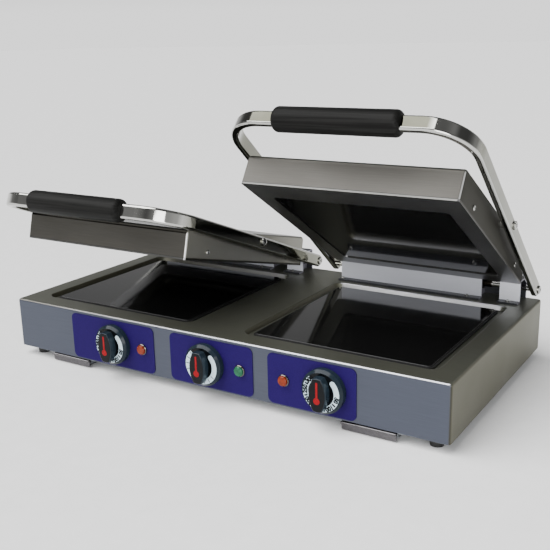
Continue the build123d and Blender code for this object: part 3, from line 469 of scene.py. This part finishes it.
def pan_head(made, seat, outward, head, shank):
    """A screw with its head's underside at the seat: a shank, a domed head and a cross recess. The head is
    given by its radius and height, and the shank by its radius and length."""
    radius, height = head
    shank_radius, shank_length = shank
    rim = turned(made, seat, outward,
                 ((-shank_length, shank_radius), (0, shank_radius), (0, radius), (0.55 * height, radius),
                  (0.85 * height, 0.85 * radius), (height, 0.6 * radius)))
    level = (rim[0].co - seat - outward * height).normalized()
    other = outward.cross(level)
    arm, half = 0.5 * radius, 0.13 * radius
    cross = ((arm, half), (half, half), (half, arm), (-half, arm), (-half, half), (-arm, half),
             (-arm, -half), (-half, -half), (-half, -arm), (half, -arm), (half, -half), (arm, -half))
    top = [made.verts.new(seat + outward * height + a * level + b * other) for a, b in cross]
    floor = [made.verts.new(corner.co - outward * 0.6 * height) for corner in top]
    edges = [made.edges.new((top[k - 1], top[k])) for k in range(len(top))]
    edges += [made.edges.get((rim[k - 1], rim[k])) for k in range(len(rim))]
    bmesh.ops.triangle_fill(made, edges=edges, use_beauty=True)
    for k in range(len(top)):
        made.faces.new((top[k - 1], top[k], floor[k], floor[k - 1])).material_index = 1
    made.faces.new(floor).material_index = 1


def add_screws(name, made, body, *stood_for):
    """Turns screw geometry into a piece in place of the CAD fasteners."""
    piece = add_piece(name, made, body, "polished_steel", screw_steel, recess_dark)
    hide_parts(*stood_for)


for side in station_x:
    lid_heads, pin_heads, rod_heads = bmesh.new(), bmesh.new(), bmesh.new()
    for end in (-1, 1):
        outward = Vector((end, 0, 0))
        for back in lid_screw_backs:
            seat = lid_point(side, end * lid_half_width, back, lid_screw_up)
            pan_head(lid_heads, seat, outward, small_head, lid_screw_shank)
        rod_seat = handle_point(side, end * rod_screw_x, 0, 0)
        pan_head(rod_heads, rod_seat, outward, large_head, rod_screw_shank)
        pin_seat = lid_point(side, end * pin_head_x, pin_back, pin_up)
        pan_head(pin_heads, pin_seat, outward, large_head, pin_shank)
        turned(pin_heads, lid_point(side, end * nut_x, pin_back, pin_up), outward, nut_and_collar)
    add_screws(f"{side}_lid_pan_head_screws", lid_heads, f"{side}_lid", f"{side}_lid_screws")
    add_screws(f"{side}_pivot_pins_with_heads", pin_heads, f"{side}_lid", f"{side}_pivot_pins")
    add_screws(f"{side}_rod_end_screws", rod_heads, f"{side}_handle", f"{side}_rod_screws")

deck_heads = bmesh.new()
for x in station_x.values():
    for across in deck_screws_across:
        seat = Vector((x + across, deck_screw_y, deck_screw_z))
        pan_head(deck_heads, seat, Vector((0, 0, 1)), small_head, deck_screw_shank)
add_screws("bracket_pan_head_screws", deck_heads, "base", "hinge_bracket_screws")


# ---------------------------------------------------------------- front panels
# Three thin panels of satin polyester film mark the controls. Each is screen printed on its back, where the
# ink can't rub off, and bonded to the casing's front.

# Seen through the film, the ink is an even deep indigo with hardly a highlight.
panel_film = grained("indigo printed film", ("#1D0E47", "#21124D"), 1.43, 0.5,
                     settings={"Specular IOR Level": 0.05})
dress(panel_film, "left_front_panel", "middle_front_panel", "right_front_panel")


# ---------------------------------------------------------------- knobs
# The knobs are moulded from black phenolic resin and pushed onto steel spindles. A silver scale is hot
# stamped on each face, with black marks and plain numbers, and a red thermometer is printed on each bar.
knob_centres = {"left": -0.154, "middle": 0.008, "right": 0.189}
knob_z, knob_face_y, knob_bar_y = 0.050, -0.196, -0.207
band_inner, band_outer, band_start, band_end, band_step = 0.0178, 0.0251, 48, 322, 4
mark_inner, mark_outer, first_mark, marks_end = 0.0192, 0.0243, 126, 320
mark_step = {"left": 42, "middle": 21, "right": 42}
mark_half_turn = {"left": 3.0, "middle": 1.4, "right": 3.0}
# Each number and its angle clockwise from the top.
numbers = ((50, 105), (100, 147), (150, 189), (200, 231), (250, 273), (300, 313))
number_radius, number_size, number_boldness = 0.0214, 0.0076, 0.0006
bulb_z, bulb_radius, stem_half, stem_top = knob_z - 0.0070, 0.0044, 0.0014, knob_z + 0.0160
foil_thickness, ink_thickness, red_thickness = 0.0001, 0.00005, 0.0002


def glossy_resin(name, face, skirt, roughness):
    """Moulded resin: a dark face, and a skirt painted lighter as a painted reflection of the room. The
    filler's fine grain is drawn 1.1 mm wide, coarser than the real one, so that it shows."""
    filler_mm = 1.11
    material, output = start_material(name)
    place = put(material, "ShaderNodeTexCoord").outputs["Object"]
    filler = put(material, "ShaderNodeTexNoise", {"Scale": 1000 / filler_mm, "Detail": 2.0},
                 {"Vector": place}).outputs["Fac"]
    tone = put(material, "ShaderNodeMixRGB", {},
               {"Fac": facing(material, (0, -1, 0), 0.97, 0.6), "Color1": two_tones(material, filler, face),
                "Color2": two_tones(material, filler, skirt)})
    surface = put(material, "ShaderNodeBsdfPrincipled", {"Roughness": roughness, "Specular IOR Level": 0.16},
                  {"Base Color": tone.outputs["Color"]})
    return finish_material(material, output, surface)


# Phenolic comes out of the mould glossy; its lighter blue-black skirt is a painted reflection. The foil is
# pale satin, the inks are flat.
phenolic = glossy_resin("glossy black phenolic resin", ("#030507", "#06090C"), ("#1C262E", "#242F38"), 0.16)
silver_foil = grained("silver stamping foil", ("#BFD6E0", "#D0E3EB"), 2.0, 0.38, metallic=0.2)
mark_ink = grained("black marking ink", ("#050709", "#0A0D10"), 1.11, 0.5,
                   settings={"Specular IOR Level": 0.1})
red_ink = grained("red printing ink", ("#7C0810", "#8C1018"), 1.43, 0.4,
                  settings={"Specular IOR Level": 0.1})
# The spindles are turned steel with a soft bright shine.
spindle_steel = grained("turned spindle steel", ("#9A9A97", "#A5A5A2"), 2.0, 0.3, metallic=1.0)


def spoke(clockwise):
    """The direction from a knob's middle at an angle clockwise from the top, seen from the front."""
    turn = math.radians(clockwise)
    return Vector((math.sin(turn), 0, math.cos(turn)))


def on_dial(side, radius, clockwise, y):
    """A place on a knob, at a distance and an angle from its middle."""
    return Vector((knob_centres[side], y, knob_z)) + radius * spoke(clockwise)


def stamp(made, outline, thickness):
    """Adds a flat printed shape with a little thickness towards the front."""
    face = made.faces.new([made.verts.new(point) for point in outline])
    lifted = bmesh.ops.extrude_face_region(made, geom=[face])["geom"]
    front = [part for part in lifted if isinstance(part, bmesh.types.BMVert)]
    bmesh.ops.translate(made, vec=(0, -thickness, 0), verts=front)


def scale_band(side):
    """The silver band, with a round end where it starts."""
    band = bmesh.new()
    outer = [on_dial(side, band_outer, a, knob_face_y) for a in range(band_start, band_end + 1, band_step)]
    inner = [on_dial(side, band_inner, a, knob_face_y) for a in range(band_end, band_start - 1, -band_step)]
    cap_radius = (band_outer - band_inner) / 2
    cap = [on_dial(side, band_inner + cap_radius * (1 - math.cos(math.radians(a))), band_start, knob_face_y)
           + cap_radius * math.sin(math.radians(a)) * spoke(band_start - 90) for a in range(20, 161, 20)]
    for k in range(len(outer) - 1):
        stamp(band, (outer[k], outer[k + 1], inner[-k - 2], inner[-k - 1]), foil_thickness)
    stamp(band, (inner[-1], *cap, outer[0]), foil_thickness)
    return band


def write_number(made, side, number, clockwise):
    """Adds a number that stands on the scale with its foot towards the knob's middle."""
    digits = bpy.data.curves.new("digits", "FONT")
    digits.body, digits.size, digits.offset = str(number), number_size, number_boldness
    digits.align_x, digits.align_y = "CENTER", "CENTER"
    holder = bpy.data.objects.new("digits", digits)
    flat = bpy.data.meshes.new_from_object(holder)
    origin = on_dial(side, number_radius, clockwise, knob_face_y - foil_thickness - ink_thickness)
    for vertex in flat.vertices:
        vertex.co = origin + spoke(clockwise + 90) * vertex.co.x + spoke(clockwise) * vertex.co.y
    made.from_mesh(flat)
    bpy.data.objects.remove(holder)
    bpy.data.meshes.remove(flat)


def scale_marks(side):
    """The black strokes on the band, and the numbers between them where the knob is a thermostat's."""
    marks = bmesh.new()
    half = mark_half_turn[side]
    for clockwise in range(first_mark, marks_end, mark_step[side]):
        stamp(marks, [on_dial(side, radius, clockwise + turn, knob_face_y - foil_thickness)
                      for radius, turn in ((mark_inner, -half), (mark_outer, -half), (mark_outer, half),
                                           (mark_inner, half))], ink_thickness)
    if side != "middle":
        for number, clockwise in numbers:
            write_number(marks, side, number, clockwise)
    return marks


def thermometer(side):
    """A plain thermometer sign: a round bulb below and a stem with a round end."""
    symbol = bmesh.new()
    x = knob_centres[side]
    neck = math.asin(stem_half / bulb_radius)
    bulb_turns = [neck + k * (2 * math.pi - 2 * neck) / 24 for k in range(25)]
    outline = [Vector((x + bulb_radius * math.sin(turn), knob_bar_y, bulb_z + bulb_radius * math.cos(turn)))
               for turn in bulb_turns]
    outline += [Vector((x - stem_half * math.cos(turn), knob_bar_y, stem_top + stem_half * math.sin(turn)))
                for turn in (math.pi * k / 8 for k in range(9))]
    stamp(symbol, outline, red_thickness)
    return symbol


for side in knob_centres:
    dress(phenolic, f"{side}_knob")
    dress(spindle_steel, f"{side}_knob_spindle")
    for name, shape, finish in (("scale", scale_band, silver_foil), ("scale_marks", scale_marks, mark_ink),
                                ("thermometer", thermometer, red_ink)):
        add_piece(f"{side}_knob_{name}", shape(side), f"{side}_knob_body", "black_knob_plastic", finish)


# ---------------------------------------------------------------- pilot lamps
# The bezels are turned from bright steel and pushed into holes in the front. The lenses are moulded domes of
# tinted polycarbonate, snapped into them.

# Turned steel shows as thin warm grey rings, and the lenses are deep glossy colours with a small highlight.
bezel_steel = grained("turned bezel steel", ("#5E5A56", "#6A6662"), 3.33, 0.22, metallic=1.0)
orange_lens = grained("orange polycarbonate", ("#661C00", "#7C2802"), 3.85, 0.14,
                      settings={"Specular IOR Level": 0.3})
green_lens = grained("green polycarbonate", ("#124C31", "#1F6344"), 3.85, 0.14,
                     settings={"Specular IOR Level": 0.3})
dress(bezel_steel, "lamp_bezels")
dress(orange_lens, "orange_lamp_lenses")
dress(green_lens, "green_lamp_lens")


# ---------------------------------------------------------------- heaters and controls
# The heater dishes are pressed from insulating fibre, which stands the heat of the ribbons in them. The
# controls and the terminal block are moulded phenolic, and the cable gland is moulded nylon.

# The fibre is chalky white and rough, and the oxidised ribbon is dull and brown. The phenolic is plain
# cream, and the nylon is a satin black.
dish_fibre = grained("white fibre insulation", ("#D8D4C8", "#E6E2D8"), 2.5, 0.9, bump=0.4)
ribbon_steel = grained("oxidised heating ribbon", ("#3C362F", "#4A433A"), 2.0, 0.5, metallic=1.0)
control_resin = grained("cream phenolic resin", ("#B8AE98", "#C4BAA4"), 1.67, 0.5)
gland_nylon = grained("black gland nylon", ("#141414", "#1C1C1C"), 1.11, 0.45, bump=0.05)
for side in station_x:
    dress(dish_fibre, f"{side}_lower_heater_dish", f"{side}_upper_heater_dish")
    dress(ribbon_steel, f"{side}_upper_heating_element")
dress(ribbon_steel, "lower_heating_elements")
dress(control_resin, "left_thermostat", "right_thermostat", "energy_regulator", "terminal_block")
dress(gland_nylon, "cable_gland")


# ---------------------------------------------------------------- studio
# A plain floor of pale matt paper runs to a white horizon, and the room above is grey. One wide soft lamp
# stands high on the front left, and a weak square one stands on the front right, so the steel shows dark
# faces with bright bends. The brightest fold lines are partly painted highlight in the steel's tones.
floor_half = 40
floor_corners = [(-floor_half, -floor_half, 0), (floor_half, -floor_half, 0), (floor_half, floor_half, 0),
                 (-floor_half, floor_half, 0)]
floor_mesh = bpy.data.meshes.new("studio_floor")
floor_mesh.from_pydata(floor_corners, [], [(0, 1, 2, 3)])
floor_mesh.materials.append(grained("pale paper floor", ("#FAFAFA", "#FDFDFD"), 25.0, 0.95))
studio_floor = bpy.data.objects.new("studio_floor", floor_mesh)
bpy.context.collection.objects.link(studio_floor)

world = bpy.data.worlds.new("studio")
bpy.context.scene.world = world
world.use_nodes = True
direction = put(world, "ShaderNodeTexCoord").outputs["Generated"]
height = put(world, "ShaderNodeSeparateXYZ", {}, {"Vector": direction}).outputs["Z"]
room = put(world, "ShaderNodeValToRGB", {}, {"Fac": height})
room_greys = ((0.0, 0.95), (0.03, 0.95), (0.16, 0.24), (0.28, 0.17), (0.45, 0.08), (0.99, 0.12))
for upward, grey in room_greys:
    room.color_ramp.elements.new(upward).color = (grey, grey, grey, 1)
room.color_ramp.elements.remove(room.color_ramp.elements[-1])
room.color_ramp.elements.remove(room.color_ramp.elements[0])

# The horizon is even, so that the floor meets it unseen. Higher up, soft bright patches stand for a room.
horizon_strength = 1.55
walls = put(world, "ShaderNodeTexNoise", {"Scale": 1.6, "Detail": 1.0}, {"Vector": direction})
patches = put(world, "ShaderNodeMapRange", {"From Min": 0.35, "From Max": 0.65, "To Min": 0.9, "To Max": 3.1},
              {"Value": walls.outputs["Fac"]})
above_horizon = put(world, "ShaderNodeMapRange", {"From Min": 0.05, "From Max": 0.2}, {"Value": height})
strength = put(world, "ShaderNodeMapRange", {"To Min": horizon_strength},
               {"Value": above_horizon.outputs["Result"], "To Max": patches.outputs["Result"]})
background = world.node_tree.nodes["Background"]
world.node_tree.links.new(room.outputs["Color"], background.inputs["Color"])
world.node_tree.links.new(strength.outputs["Result"], background.inputs["Strength"])

soft_lamp = bpy.data.lights.new("soft_lamp", "SUN")
soft_lamp.energy, soft_lamp.angle = 5.4, math.radians(60)
front_fill = bpy.data.lights.new("front_fill", "AREA")
front_fill.energy, front_fill.size = 35, 1.2
fill_place = Vector((1.2, -2.2, 0.7))
for light, place, beam in ((soft_lamp, Vector((0, 0, 0)), Vector((0.38, 0.40, -0.82))),
                           (front_fill, fill_place, Vector((0, 0, 0.1)) - fill_place)):
    lamp = bpy.data.objects.new(light.name, light)
    bpy.context.collection.objects.link(lamp)
    lamp.location = place
    lamp.rotation_euler = beam.to_track_quat("-Z", "Y").to_euler()

# The camera stands to the right of the front, a little above, and leans slightly.
azimuth, elevation, roll = math.radians(32.2), math.radians(15.62), math.radians(-1.28)
camera_place, film_width, focal_length_px, frame_width_px = (0.656, -1.036, 0.4685), 36.0, 853, 550
back = Vector((math.sin(azimuth) * math.cos(elevation), -math.cos(azimuth) * math.cos(elevation),
               math.sin(elevation)))
level = (-back).cross(Vector((0, 0, 1))).normalized()
upright = level.cross(-back)
across = math.cos(roll) * level + math.sin(roll) * upright
up = -math.sin(roll) * level + math.cos(roll) * upright
view = bpy.data.cameras.new("camera")
view.sensor_width, view.lens = film_width, film_width * focal_length_px / frame_width_px
camera = bpy.data.objects.new("camera", view)
bpy.context.collection.objects.link(camera)
camera.matrix_world = Matrix.Translation(camera_place) @ Matrix((across, up, back)).transposed().to_4x4()
bpy.context.scene.camera = camera
